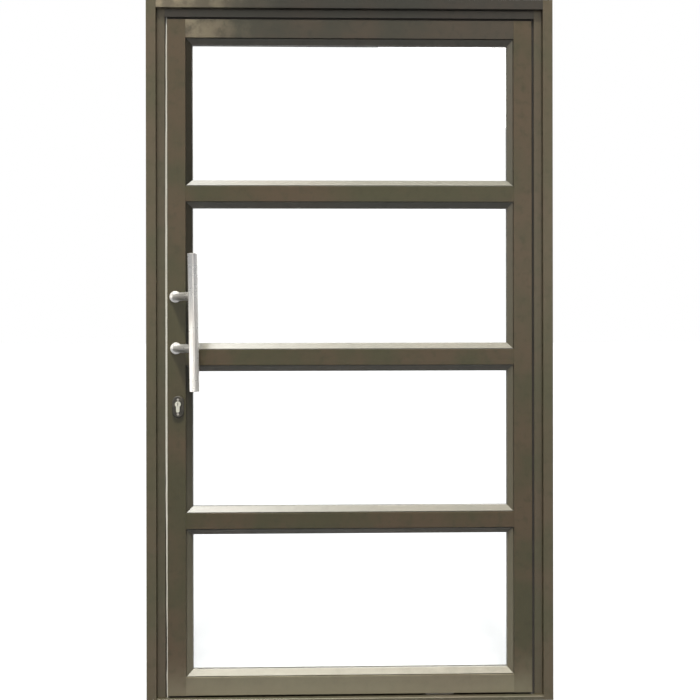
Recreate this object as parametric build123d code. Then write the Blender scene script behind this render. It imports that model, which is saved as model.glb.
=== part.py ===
from build123d import *

import os
from math import sqrt

# A glass pivot door in its aluminium frame, in millimetres.
# +Z is up, +X is to the right seen from outdoors, and +Y points indoors.
# The origin is on the floor under the middle of the sill, midway through the leaf.

# Frame
frame_width = 1200
frame_height = 2075
frame_depth = 70
frame_face = 29
frame_wall = 2.5
liner_width = 24.5
liner_wall = 2
sill_height = 12.5
sill_chamfer = 2
channel_width = 13.5
channel_depth = 9
fixing_spacing_outer = 1680
fixing_spacing_inner = 560
fixing_radius = 4.25
access_radius = 6

# Leaf
edge_gap = 6.5
leaf_depth = 44
stile_face = 54
rail_face = 54
mid_rail_face = 46
pane_count = 4
profile_wall = 2.2
edge_radius = 0.8
lip_width = 18.3
lip_recess = 3
lip_nose = 2.5

# Glass, gaskets and beads
glass_thickness = 6
glass_edge_gap = 5
gasket_thickness = 3
gasket_seat = 8.3
gasket_show = 0.6
block_length = 60
block_width = 10
bead_groove = 2.5
bead_heel = 4
bead_wall = 1.6
mitre_gap = 0.1

# Seals
seal_groove_width = 5.4
seal_groove_depth = 3.4
seal_boss_wall = 2
seal_position = 16
seal_base = 1.2
pile_width = 3.6
pile_clearance = 0.8
sweep_clearance = 47

# Pivots
pivot_offset = 275
plate_length = 86
plate_width = 26
plate_thickness = 3
plate_screw_spacing = 68
bottom_pin_radius = 8
bottom_pin_height = 32
top_pin_radius = 7
top_pin_length = 68
top_pin_reach = 21
socket_radius = 12
socket_height = 20
washer_radius = 14
shoe_length = 80
shoe_width = 20
shoe_screw_spacing = 52
shoe_height = 36
running_clearance = 0.05
thrust_clearance = 0.2

# Pull handles
handle_height = 1120
handle_inset = 25
handle_lean = 0.8
handle_reach = 60
handle_standoff = 58
bar_radius = 14.5
bar_length = 400
bar_chamfer = 1.5
post_radius = 12.5
post_spacing = 152
post_weld = 1
rose_radius = 17
rose_height = 5
rose_round = 1.5
bolt_radius = 4
bolt_engagement = 9

# Lock
lock_height = 880
backset = 32
cylinder_radius = 8.5
cylinder_height = 33
cylinder_tail = 10
cylinder_proud = 2.5
plug_radius = 6.5
cam_radius = 15
cam_width = 9.6
cam_nose = 7
key_slot_width = 2.2
key_slot_height = 8
key_slot_depth = 22
escutcheon_width = 34
escutcheon_height = 64
escutcheon_thickness = 8
escutcheon_round = 3
escutcheon_screw_spacing = 43
case_wall = 1.5
case_thickness = 17
case_margin = 8
case_back = 18
faceplate_width = 20
faceplate_thickness = 2.5
faceplate_ear = 20
bolt_width = 10
bolt_height = 30
bolt_length = 44
bolt_above_axis = 17
bolt_slack = 0.3
bolt_chamfer = 1
strike_length = 110
strike_width = 22
strike_thickness = 2
strike_screw_spacing = 84
strike_slot_slack = 1

# Screws
screw_radius = 2.3
screw_length = 32
screw_head_radius = 4
screw_head_height = 2.5
port_radius = 2.45
port_wall = 2.4
plate_screw_radius = 2
plate_screw_head = 3.6
plate_screw_length = 10
escutcheon_screw_length = 20
recess_width = 1
recess_length = 4
recess_depth = 1.2
seat_clearance = 0.2

# Places that follow from the sizes above
half_frame = frame_width / 2
jamb_inner = half_frame - frame_face
head_bottom = frame_height - frame_face
liner_inner = jamb_inner - liner_width
liner_bottom = head_bottom - liner_width
leaf_half = liner_inner - edge_gap
leaf_bottom = sill_height + edge_gap
leaf_top = liner_bottom - edge_gap
leaf_y = leaf_depth / 2
opening_half = leaf_half - stile_face
pane_height = (leaf_top - leaf_bottom - 2 * rail_face - (pane_count - 1) * mid_rail_face) / pane_count
pane_pitch = pane_height + mid_rail_face
glass_y = glass_thickness / 2
seat_y = glass_y + gasket_thickness
lip_y = leaf_y - lip_recess
pivot_x = leaf_half - pivot_offset
handle_x = -leaf_half + handle_inset
lock_x = -leaf_half + backset
fixing_screw_z = lock_height + cylinder_radius - cylinder_height + cylinder_tail / 2
bolt_bottom = lock_height + bolt_above_axis
bolt_top = bolt_bottom + bolt_height
case_bottom = lock_height + cylinder_radius - cylinder_height - case_margin
case_top = bolt_top + case_margin
faceplate_x = -leaf_half - faceplate_thickness
strike_x = -liner_inner + strike_thickness
escutcheon_centre = lock_height + cylinder_radius - cylinder_height / 2
port_outer = port_radius + port_wall

# The way a section's first axis grows, as its x direction and the direction it is extruded in
GROWS = {
    "right": ((1, 0, 0), (0, 0, 1)),
    "left": ((-1, 0, 0), (0, 0, -1)),
    "down": ((0, 0, -1), (1, 0, 0)),
    "up": ((0, 0, 1), (-1, 0, 0)),
}


def block(x, y, z):
    """A box between two places along each axis."""
    sizes = [high - low for low, high in (x, y, z)]
    middle = [(high + low) / 2 for low, high in (x, y, z)]
    return Pos(*middle) * Box(*sizes)


def rod_x(radius, x, y, z):
    """A round rod along X between two places."""
    return Pos((x[0] + x[1]) / 2, y, z) * Rot(0, 90, 0) * Cylinder(radius, x[1] - x[0])


def rod_y(radius, x, y, z):
    """A round rod along Y between two places."""
    return Pos(x, (y[0] + y[1]) / 2, z) * Rot(90, 0, 0) * Cylinder(radius, y[1] - y[0])


def rod_z(radius, x, y, z):
    """A round rod along Z between two places."""
    return Pos(x, y, (z[0] + z[1]) / 2) * Cylinder(radius, z[1] - z[0])


def outline(points):
    """A flat face through the points that faces up whichever way they run."""
    following = points[1:] + points[:1]
    area = sum(x0 * y1 - x1 * y0 for (x0, y0), (x1, y1) in zip(points, following))
    return Polygon(*(points if area > 0 else points[::-1]))


def member(section, toward, edge, low, high):
    """Extrude a section whose first axis grows toward one side, from low to high."""
    x_dir, z_dir = GROWS[toward]
    start = low if sum(z_dir) > 0 else high
    origin = (edge, 0, start) if toward in ("right", "left") else (start, 0, edge)
    return extrude(Plane(origin=origin, x_dir=x_dir, z_dir=z_dir) * section, high - low)


def group(solids):
    """Separate solids kept together as one part."""
    return Compound(children=list(solids))


# Sections: the first axis runs from the member's outer edge, the second is the depth


def tube_section(face, depth, wall):
    """A rectangular tube with softened edges."""
    body = Pos(face / 2, 0) * RectangleRounded(face, depth, edge_radius)
    return body - Pos(face / 2, 0) * Rectangle(face - 2 * wall, depth - 2 * wall)


def wedge(start, width, top, sign=1):
    """The sloped outline between a member's face and the glass."""
    nose = seat_y + lip_nose
    points = [(start, seat_y), (start, top), (start + width, nose), (start + width, seat_y)]
    return outline([(a, sign * d) for a, d in points])


def wedge_chamber(face, start, left, wall, sign=1):
    """The triangular hollow inside a sloped outline that begins at start beyond the face."""
    slope = (lip_y - seat_y - lip_nose) / (lip_width - start)
    low = seat_y + wall
    high = lip_y - wall * sqrt(1 + slope**2) + slope * start
    tip = (high - low) / slope
    points = [(left, low), (tip, low), (left, high - slope * left)]
    return outline([(face + a, sign * d) for a, d in points])


def leaf_outline(face, near_lip=False):
    """A leaf profile without its hollows, with a fixed lip beyond its far edge."""
    shape = Pos(face / 2, 0) * RectangleRounded(face, leaf_depth, edge_radius)
    shape += wedge(face - edge_radius, lip_width + edge_radius, lip_y)
    if near_lip:
        shape += Pos(face, 0) * mirror(wedge(face - edge_radius, lip_width + edge_radius, lip_y), Plane.YZ)
    return shape


def leaf_section(face, near_lip=False, ports=0):
    """A hollow leaf profile, with round ports for the end screws."""
    shape = leaf_outline(face, near_lip)
    shape -= Pos(face / 2, 0) * Rectangle(face - 2 * profile_wall, leaf_depth - 2 * profile_wall)
    shape -= wedge_chamber(face, 0, 0, profile_wall)
    if near_lip:
        shape -= Pos(face, 0) * mirror(wedge_chamber(face, 0, 0, profile_wall), Plane.YZ)
    for place in port_places(face)[:ports]:
        shape += Pos(place, -port_depth()) * Circle(port_outer)
    for place in port_places(face)[:ports]:
        shape -= Pos(place, -port_depth()) * Circle(port_radius)
    return shape


def port_places(face):
    """Where the screw ports lie across a rail's face."""
    return [face / 4, face * 3 / 4]


def port_depth():
    """How far the rails' screw ports lie from the middle of the leaf."""
    return leaf_y - profile_wall - screw_head_radius - seat_clearance


def liner_section():
    """The stepped-back inner profile of the frame, with its seal groove."""
    shape = tube_section(liner_width, leaf_depth, liner_wall)
    for side in (-1, 1):
        shape += Pos(liner_wall, side * (leaf_y - 1.5 * liner_wall)) * Rectangle(2 * liner_wall, 3 * liner_wall)
        shape -= Pos(0, side * leaf_y) * Rectangle(2 * liner_wall, 3 * liner_wall)
    boss_height = seal_groove_depth + seal_boss_wall
    boss_width = seal_groove_width + 2 * seal_boss_wall
    shape += Pos(liner_width - boss_height / 2, -seal_position) * Rectangle(boss_height, boss_width)
    groove = Pos(liner_width, -seal_position) * Rectangle(2 * seal_groove_depth, seal_groove_width)
    return shape - groove


def seal_section(reach):
    """A pile strip: a flat base in its groove and a brush that reaches across the gap."""
    base_width = seal_groove_width - 2 * seat_clearance
    base = Pos(seal_base / 2, 0) * Rectangle(seal_base, base_width)
    return base + Pos(reach / 2, 0) * Rectangle(reach, pile_width)


# Screws and the cutters that make room for them: the head's top lies on the plane


def recess(top):
    """The cross recess in a screw's head whose top is at this height."""
    slot = Box(recess_length, recess_width, 2 * recess_depth) + Box(recess_width, recess_length, 2 * recess_depth)
    return Pos(0, 0, top) * slot


def sunk_screw(length, slack=0):
    """A countersunk screw, or with slack the hole for one."""
    head = plate_screw_head + slack
    shank = plate_screw_radius + slack
    taper = Pos(0, 0, -(head - shank) / 2) * Cone(shank, head, head - shank)
    shape = taper + Pos(0, 0, -length / 2) * Cylinder(shank, length)
    return shape if slack else shape - recess(0)


def pan_screw():
    """A pan-head screw whose head stands on the plane."""
    shank = Pos(0, 0, -screw_length / 2) * Cylinder(screw_radius, screw_length)
    head = Pos(0, 0, screw_head_height / 2) * Cylinder(screw_head_radius, screw_head_height)
    return shank + head - recess(screw_head_height)


def facing(x, y, z, direction):
    """A plane at a place that faces in a direction."""
    return Plane(origin=(x, y, z), z_dir=direction)


def leaning(shape):
    """The shape turned with the slight lean of the pull handles."""
    centre = Pos(handle_x, 0, handle_height)
    return centre * Rot(0, -handle_lean, 0) * centre.inverse() * shape


strike_places = [
    facing(strike_x, 0, (bolt_bottom + bolt_top) / 2 + side * strike_screw_spacing / 2, (1, 0, 0))
    for side in (-1, 1)
]
bottom_plate_places = [
    facing(pivot_x + side * plate_screw_spacing / 2, 0, sill_height + plate_thickness, (0, 0, 1))
    for side in (-1, 1)
]
top_plate_places = [
    facing(pivot_x + side * plate_screw_spacing / 2, 0, liner_bottom - plate_thickness, (0, 0, -1))
    for side in (-1, 1)
]
faceplate_places = [
    facing(faceplate_x, 0, height, (-1, 0, 0))
    for height in (case_bottom - faceplate_ear / 2, case_top + faceplate_ear / 2)
]
shoe_places = [
    facing(pivot_x + side * shoe_screw_spacing / 2, 0, height, (0, 0, up))
    for height, up in ((leaf_bottom, -1), (leaf_top, 1))
    for side in (-1, 1)
]
cylinder_screw_place = facing(faceplate_x, 0, fixing_screw_z, (-1, 0, 0))
escutcheon_y = leaf_y + escutcheon_thickness
escutcheon_places = [
    facing(lock_x, side * escutcheon_y, escutcheon_centre + end * escutcheon_screw_spacing / 2, (0, side, 0))
    for side in (-1, 1)
    for end in (-1, 1)
]


def rail_spans():
    """The low and high face of each rail of the leaf, from the top down."""
    spans = [(leaf_top - rail_face, leaf_top)]
    for index in range(pane_count - 1):
        top = leaf_top - rail_face - pane_height - index * pane_pitch
        spans.append((top - mid_rail_face, top))
    return spans + [(leaf_bottom, leaf_bottom + rail_face)]


def pane_spans():
    """The low and high edge of each opening of the leaf, from the top down."""
    rails = rail_spans()
    return [(lower[1], upper[0]) for upper, lower in zip(rails, rails[1:])]


def rail_screw_heights():
    """The height of each screw port at the rails' ends."""
    return [high - place for low, high in rail_spans() for place in port_places(high - low)]


def holes(places, length, slack):
    """The cutters for the countersunk screws at these places."""
    return [place * sunk_screw(length, slack) for place in places]


cylinder_screw_length = backset + faceplate_thickness + cylinder_tail / 4

# Frame


def frame_screw_places():
    """The height and depth of each screw through a jamb, at the head and at the sill."""
    sill_port = (channel_width + sill_web()) / 2
    ends = [(frame_height - frame_face / 2, head_port_depth()), (sill_height / 2, sill_port)]
    return [(height, side * depth) for height, depth in ends for side in (-1, 1)]


def head_port_depth():
    """How far the head's screw ports lie from the middle of the frame."""
    return frame_depth / 2 - frame_wall - screw_head_radius - seat_clearance


def sill_web():
    """The thickness of the sill's webs between and beside its channels."""
    return (frame_depth - 3 * channel_width) / 4


def jamb(side):
    """A jamb tube, full height, with its wall fixings and the holes for the corner screws."""
    toward = "right" if side < 0 else "left"
    section = tube_section(frame_face, frame_depth, frame_wall)
    shape = member(section, toward, side * half_frame, 0, frame_height)
    outer = sorted((side * (half_frame + 1), side * (half_frame - frame_wall - 1)))
    inner = sorted((side * (jamb_inner - 1), side * (jamb_inner + frame_wall + 1)))
    for spacing in (fixing_spacing_outer, fixing_spacing_inner):
        for end in (-1, 1):
            height = frame_height / 2 + end * spacing / 2
            shape -= rod_x(fixing_radius, outer, 0, height)
            shape -= rod_x(access_radius, inner, 0, height)
    for height, depth in frame_screw_places():
        shape -= rod_x(port_radius, inner, depth, height)
        shape -= rod_x(screw_head_radius + 1, outer, depth, height)
    return shape


def head():
    """The head tube between the jambs, with ports for the corner screws."""
    section = tube_section(frame_face, frame_depth, frame_wall)
    for side in (-1, 1):
        section += Pos(frame_face / 2, side * head_port_depth()) * Circle(port_outer)
    for side in (-1, 1):
        section -= Pos(frame_face / 2, side * head_port_depth()) * Circle(port_radius)
    return member(section, "down", frame_height, -jamb_inner, jamb_inner)


def sill():
    """The threshold between the jambs, with open channels below and drilled ends."""
    edge = frame_depth / 2
    points = [(0, -edge), (0, edge), (sill_height - sill_chamfer, edge), (sill_height, edge - sill_chamfer)]
    points += [(sill_height, sill_chamfer - edge), (sill_height - sill_chamfer, -edge)]
    section = outline(points)
    for index in (-1, 0, 1):
        centre = index * (channel_width + sill_web())
        section -= Pos(0, centre) * Rectangle(2 * channel_depth, channel_width)
    shape = member(section, "up", 0, -jamb_inner, jamb_inner)
    for height, depth in frame_screw_places():
        if height < sill_height:
            for side in (-1, 1):
                ends = sorted((side * (jamb_inner + 1), side * (jamb_inner - screw_length)))
                shape -= rod_x(port_radius, ends, depth, height)
    for cutter in holes(bottom_plate_places, plate_screw_length, seat_clearance / 2):
        shape -= cutter
    return shape


def liner_lock_side():
    """The inner profile on the lock side, with the pocket for the deadbolt."""
    shape = member(liner_section(), "right", -jamb_inner, sill_height, head_bottom)
    shape -= block(
        (-liner_inner - 2 * liner_wall, -liner_inner + 1),
        (-bolt_width / 2 - strike_slot_slack, bolt_width / 2 + strike_slot_slack),
        (bolt_bottom - strike_slot_slack, bolt_top + strike_slot_slack),
    )
    for cutter in holes(strike_places, plate_screw_length, seat_clearance / 2):
        shape -= cutter
    return shape


def liner_pivot_side():
    """The inner profile on the pivot side."""
    return member(liner_section(), "left", jamb_inner, sill_height, head_bottom)


def liner_head():
    """The inner profile under the head, with the hole for the top pivot's socket."""
    shape = member(liner_section(), "down", head_bottom, -liner_inner, liner_inner)
    reach = (liner_bottom - 1, liner_bottom + seal_groove_depth + seal_boss_wall + 1)
    shape -= rod_z(socket_radius + seat_clearance, pivot_x, 0, reach)
    for cutter in holes(top_plate_places, plate_screw_length, seat_clearance / 2):
        shape -= cutter
    return shape


def upright_seal(side):
    """The pile strip of an upright liner."""
    toward = "right" if side < 0 else "left"
    section = seal_section(seal_groove_depth + edge_gap - pile_clearance)
    strip = member(section, toward, side * (liner_inner + seal_groove_depth), sill_height, liner_bottom)
    return Pos(0, -seal_position, 0) * strip


def head_seal():
    """The pile strip under the head, as long as the leaf is wide."""
    section = seal_section(seal_groove_depth + edge_gap - pile_clearance)
    strip = member(section, "down", liner_bottom + seal_groove_depth, -leaf_half, leaf_half)
    return Pos(0, -seal_position, 0) * strip


def strike_plate():
    """The plate that the deadbolt passes through."""
    middle = (bolt_bottom + bolt_top) / 2
    shape = block(
        (-liner_inner, strike_x),
        (-strike_width / 2, strike_width / 2),
        (middle - strike_length / 2, middle + strike_length / 2),
    )
    corners = shape.edges().filter_by(Axis.X)
    shape = fillet(corners, strike_width / 4)
    shape -= block(
        (-liner_inner - 1, strike_x + 1),
        (-bolt_width / 2 - strike_slot_slack, bolt_width / 2 + strike_slot_slack),
        (bolt_bottom - strike_slot_slack, bolt_top + strike_slot_slack),
    )
    for cutter in holes(strike_places, plate_screw_length, seat_clearance / 2):
        shape -= cutter
    return shape


def pivot_plate(low):
    """A rounded plate across the pivot axis."""
    shape = block(
        (pivot_x - plate_length / 2, pivot_x + plate_length / 2),
        (-plate_width / 2, plate_width / 2),
        (low, low + plate_thickness),
    )
    return fillet(shape.edges().filter_by(Axis.Z), plate_width / 4)


def bottom_pivot_plate():
    """The plate on the sill with the pin that carries the leaf."""
    top = sill_height + plate_thickness
    shape = pivot_plate(sill_height)
    pin = rod_z(bottom_pin_radius, pivot_x, 0, (top - 1, top + bottom_pin_height))
    pin = chamfer(pin.edges().filter_by(GeomType.CIRCLE).sort_by(Axis.Z)[-1], 1)
    shape += pin
    for cutter in holes(bottom_plate_places, plate_screw_length, seat_clearance / 2):
        shape -= cutter
    return shape


def thrust_washer():
    """The washer on the bottom pivot, just under the leaf."""
    low = sill_height + plate_thickness
    high = leaf_bottom - thrust_clearance
    ring = rod_z(washer_radius, pivot_x, 0, (low, high))
    return ring - rod_z(bottom_pin_radius + running_clearance, pivot_x, 0, (low - 1, high + 1))


def top_pivot_plate():
    """The plate under the head liner with the socket for the leaf's top pin."""
    low = liner_bottom - plate_thickness
    shape = pivot_plate(low)
    shape += rod_z(socket_radius, pivot_x, 0, (liner_bottom - 1, liner_bottom + socket_height))
    reach = leaf_top + top_pin_reach + 1
    shape -= rod_z(top_pin_radius + running_clearance, pivot_x, 0, (low - 1, reach))
    for cutter in holes(top_plate_places, plate_screw_length, seat_clearance / 2):
        shape -= cutter
    return shape


def frame_plate_screws():
    """The countersunk screws of the strike plate and of both pivot plates."""
    places = strike_places + bottom_plate_places + top_plate_places
    return group(place * sunk_screw(plate_screw_length) for place in places)


def frame_corner_screws():
    """The screws through the jambs into the head and the sill."""
    seat = jamb_inner + frame_wall
    return group(
        facing(side * seat, depth, height, (side, 0, 0)) * pan_screw()
        for side in (-1, 1)
        for height, depth in frame_screw_places()
    )


# Leaf


def stile(side):
    """A plain stile with its rail screw holes, on the lock side at -1 and the pivot side at 1."""
    toward = "right" if side < 0 else "left"
    shape = member(leaf_section(stile_face), toward, side * leaf_half, leaf_bottom, leaf_top)
    outer = sorted((side * (leaf_half + 1), side * (leaf_half - profile_wall - 1)))
    inner = sorted((side * (opening_half - 1), side * (opening_half + profile_wall + 1)))
    for height in rail_screw_heights():
        shape -= rod_x(port_radius, inner, -port_depth(), height)
        shape -= rod_x(screw_head_radius + 1, outer, -port_depth(), height)
    return shape


def stile_lock_side():
    """The stile that carries the lock and the pull handles."""
    shape = stile(-1)
    slack = seat_clearance
    shape -= block(
        (-leaf_half - 1, -leaf_half + profile_wall + 1),
        (-case_thickness / 2 - slack, case_thickness / 2 + slack),
        (case_bottom - slack, case_top + slack),
    )
    shape -= extrude(keyhole(slack), leaf_depth, both=True)
    for cutter in handle_bolt_rods(bolt_radius + slack, leaf_y + 1):
        shape -= cutter
    for cutter in holes(faceplate_places, plate_screw_length, slack / 2):
        shape -= cutter
    for cutter in holes(escutcheon_places, escutcheon_screw_length, slack / 2):
        shape -= cutter
    return shape


def stile_outlines():
    """Both stiles without their hollows, to shape the rails' ends."""
    section = leaf_outline(stile_face)
    left = member(section, "right", -leaf_half, leaf_bottom - 1, leaf_top + 1)
    return left + member(section, "left", leaf_half, leaf_bottom - 1, leaf_top + 1)


def rail(low, high, kind, ends):
    """A rail between the stiles, coped over their lips."""
    face = high - low
    if kind == "bottom":
        section = leaf_section(face, ports=2)
        boss_height = seal_groove_depth + seal_boss_wall
        boss_width = seal_groove_width + 2 * seal_boss_wall
        section += Pos(boss_height / 2, seal_position) * Rectangle(boss_height, boss_width)
        section -= Pos(0, seal_position) * Rectangle(2 * seal_groove_depth, seal_groove_width)
        return member(section, "up", low, -opening_half, opening_half) - ends
    section = leaf_section(face, near_lip=kind == "middle", ports=2)
    return member(section, "down", high, -opening_half, opening_half) - ends


def rails():
    """The five rails by name, from the top down."""
    ends = stile_outlines()
    spans = rail_spans()
    shapes = {"top_rail": rail(*spans[0], "top", ends), "bottom_rail": rail(*spans[-1], "bottom", ends)}
    shapes["top_rail"] -= rod_z(
        top_pin_radius + seat_clearance, pivot_x, 0, (leaf_top - 2 * profile_wall, leaf_top + 1)
    )
    for cutter in holes(shoe_places, plate_screw_length, seat_clearance / 2):
        shapes["top_rail"] -= cutter
        shapes["bottom_rail"] -= cutter
    middle = rail(*spans[1], "middle", ends)
    for index in range(pane_count - 1):
        shapes[f"mid_rail_{index + 1}"] = Pos(0, 0, -index * pane_pitch) * middle
    shapes["bottom_rail"] -= rod_z(
        bottom_pin_radius + seat_clearance, pivot_x, 0, (leaf_bottom - 1, leaf_bottom + 2 * profile_wall)
    )
    return shapes


def bead_section():
    """The hollow section of a glazing bead, from the member's face at zero."""
    top = lip_y
    heel = lip_y - bead_heel
    nose = seat_y + lip_nose
    points = [(0, seat_y), (0, heel), (bead_groove, heel), (bead_groove, top)]
    points += [(lip_width, nose), (lip_width, seat_y)]
    section = outline([(a, -d) for a, d in points])
    return section - wedge_chamber(0, bead_groove, bead_groove + bead_wall, bead_wall, -1)


def mitred(points):
    """A prism through the leaf that cuts a bead's ends."""
    return extrude(Plane.XZ * outline(points), leaf_y, both=True)


def beads(low, high):
    """The four mitred beads of an opening, by side."""
    section = bead_section()
    right = opening_half
    reach = lip_width + 1
    gap = mitre_gap
    level = [(-right + gap, 0), (right - gap, 0), (right - gap - reach, reach), (reach + gap - right, reach)]
    upright = [(0, low + gap), (0, high - gap), (reach, high - gap - reach), (reach, low + gap + reach)]
    return {
        "top": member(section, "down", high, -right, right) & mitred([(x, high - z) for x, z in level]),
        "bottom": member(section, "up", low, -right, right) & mitred([(x, low + z) for x, z in level]),
        "left": member(section, "right", -right, low, high) & mitred([(x - right, z) for x, z in upright]),
        "right": member(section, "left", right, low, high) & mitred([(right - x, z) for x, z in upright]),
    }


def glass_pane(low, high):
    """A pane that stands on its setting blocks."""
    half = opening_half - glass_edge_gap
    return block((-half, half), (-glass_y, glass_y), (low + glass_edge_gap, high - glass_edge_gap))


def setting_blocks():
    """Two blocks under each pane."""
    place = opening_half / 2
    return group(
        block(
            (side * place - block_length / 2, side * place + block_length / 2),
            (-block_width / 2, block_width / 2),
            (low, low + glass_edge_gap),
        )
        for low, high in pane_spans()
        for side in (-1, 1)
    )


def gasket(low, high, side):
    """The rubber ring between a pane and its beads or lips, with a sloped visible edge."""
    width = 2 * opening_half
    height = high - low
    seat = lip_width - gasket_seat
    outer = Rectangle(width - 2 * seat, height - 2 * seat)
    near = Rectangle(width - 2 * lip_width, height - 2 * lip_width)
    shown = lip_width + gasket_show
    far = Rectangle(width - 2 * shown, height - 2 * shown)
    ring = extrude(outer, gasket_thickness) - loft([far, Pos(0, 0, gasket_thickness) * near])
    place = Plane(origin=(0, side * glass_y, (low + high) / 2), x_dir=(1, 0, 0), z_dir=(0, side, 0))
    return place * ring


def gaskets(side):
    """The four gasket rings on one side of the glass."""
    return group(gasket(low, high, side) for low, high in pane_spans())


def pivot_shoe(low, bore_radius, bore):
    """A block in a rail's hollow with the bore for a pivot pin."""
    shape = block(
        (pivot_x - shoe_length / 2, pivot_x + shoe_length / 2),
        (-shoe_width / 2, shoe_width / 2),
        (low, low + shoe_height),
    )
    shape -= rod_z(bore_radius + running_clearance, pivot_x, 0, bore)
    for cutter in holes(shoe_places, plate_screw_length, seat_clearance / 2):
        shape -= cutter
    return shape


def bottom_pivot_shoe():
    """The shoe that turns on the bottom pin."""
    low = leaf_bottom + profile_wall
    pin_top = sill_height + plate_thickness + bottom_pin_height
    return pivot_shoe(low, bottom_pin_radius, (low - 1, pin_top + 1))


def top_pivot_shoe():
    """The shoe that holds the top pin, bored right through."""
    high = leaf_top - profile_wall
    return pivot_shoe(high - shoe_height, top_pin_radius, (high - shoe_height - 1, high + 1))


def top_pivot_pin():
    """The pin that stands out of the leaf into the frame's socket."""
    high = leaf_top + top_pin_reach
    low = max(high - top_pin_length, leaf_top - rail_face + profile_wall)
    pin = rod_z(top_pin_radius, pivot_x, 0, (low, high))
    return chamfer(pin.edges().filter_by(GeomType.CIRCLE), 1)


def bottom_sweep():
    """The brush under the leaf, broken round the bottom pivot plate."""
    section = seal_section(seal_groove_depth + edge_gap - pile_clearance)
    end = opening_half - lip_width - seat_clearance
    spans = [(-end, pivot_x - sweep_clearance), (pivot_x + sweep_clearance, end)]
    edge = leaf_bottom + seal_groove_depth
    return group(Pos(0, seal_position, 0) * member(section, "down", edge, *span) for span in spans)


# Pull handles


def handle_bolt_rods(radius, reach):
    """A rod through the stile at each handle post."""
    return [
        leaning(rod_y(radius, handle_x, (-reach, reach), handle_height + end * post_spacing / 2))
        for end in (-1, 1)
    ]


def handle_bolts():
    """The studs that join the outer and the inner handle."""
    return group(handle_bolt_rods(bolt_radius, leaf_y + bolt_engagement))


def rose(side, height):
    """The flat, round-edged foot plate of a post."""
    foot = facing(handle_x, side * leaf_y, height, (0, side, 0))
    plate = foot * Pos(0, 0, rose_height / 2) * Cylinder(rose_radius, rose_height)
    rim = plate.edges().filter_by(GeomType.CIRCLE).sort_by(Axis.Y)[0 if side < 0 else -1]
    return fillet(rim, rose_round)


def pull_handle(side, reach):
    """A straight bar on two posts that lean by the reach, outdoors at -1 and indoors at 1."""
    bar_x = handle_x + reach
    bar_y = side * (leaf_y + handle_standoff)
    ends = (handle_height - bar_length / 2, handle_height + bar_length / 2)
    bar = rod_z(bar_radius, bar_x, bar_y, ends)
    shape = chamfer(bar.edges().filter_by(GeomType.CIRCLE), bar_chamfer)
    heights = [handle_height + end * post_spacing / 2 for end in (-1, 1)]
    for height in heights:
        foot = Plane(origin=(handle_x, side * leaf_y, height), z_dir=(reach, side * handle_standoff, 0))
        length = sqrt(reach**2 + handle_standoff**2)
        shape += foot * Pos(0, 0, length / 2) * Cylinder(post_radius, length)
    welds = [edge for edge in shape.edges() if edge.geom_type not in (GeomType.CIRCLE, GeomType.LINE)]
    shape = fillet(welds, post_weld)
    for height in heights:
        shape -= block(
            (handle_x - 2 * post_radius, handle_x + 2 * post_radius),
            (-leaf_y, leaf_y),
            (height - 2 * post_radius, height + 2 * post_radius),
        )
        shape += rose(side, height)
        hole = sorted((side * (leaf_y - 1), side * (leaf_y + bolt_engagement + seat_clearance)))
        shape -= rod_y(bolt_radius + seat_clearance / 2, handle_x, hole, height)
    return leaning(shape)


# Lock


def keyhole(slack):
    """The cylinder's outline: a round head over a narrow tail."""
    bottom = lock_height + cylinder_radius - cylinder_height
    tail = cylinder_tail / 2
    shape = Pos(lock_x, lock_height) * Circle(cylinder_radius + slack)
    shape += Pos(lock_x, bottom + tail) * Circle(tail + slack)
    middle = (lock_height + bottom + tail) / 2
    shape += Pos(lock_x, middle) * Rectangle(2 * (tail + slack), lock_height - bottom - tail)
    return Plane.XZ * shape


def cylinder_body():
    """The lock cylinder, bored for its plugs and cut through for the cam."""
    reach = escutcheon_y + cylinder_proud
    shape = extrude(keyhole(0), reach, both=True)
    shape -= rod_y(plug_radius + running_clearance, lock_x, (-reach - 1, reach + 1), lock_height)
    cut = cam_width / 2 + 2 * seat_clearance
    shape -= rod_y(cam_radius + 4 * seat_clearance, lock_x, (-cut, cut), lock_height)
    hole_end = lock_x + cylinder_tail / 4 + 1
    shape -= rod_x(plate_screw_radius + seat_clearance, (lock_x - cylinder_tail, hole_end), 0, fixing_screw_z)
    return shape


def key_slot(side):
    """The slot that a key goes into."""
    face = escutcheon_y + cylinder_proud
    depth = sorted((side * (face - key_slot_depth), side * (face + 1)))
    width = key_slot_width / 2
    low = lock_height + plug_radius - 1 - key_slot_height
    return block((lock_x - width, lock_x + width), depth, (low, low + key_slot_height))


def cylinder_plug_outer():
    """The outer plug with the cam at its inner end, pointing down."""
    face = escutcheon_y + cylinder_proud
    cam = cam_width / 2
    shape = rod_y(plug_radius, lock_x, (-face, cam), lock_height)
    nose = block((lock_x - cam_nose / 2, lock_x + cam_nose / 2), (-cam, cam), (lock_height - cam_radius, lock_height))
    nose &= rod_y(cam_radius, lock_x, (-cam, cam), lock_height)
    return shape + nose - key_slot(-1)


def cylinder_plug_inner():
    """The inner plug, which ends beside the cam."""
    face = escutcheon_y + cylinder_proud
    start = cam_width / 2 + 3 * seat_clearance
    return rod_y(plug_radius, lock_x, (start, face), lock_height) - key_slot(1)


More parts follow.
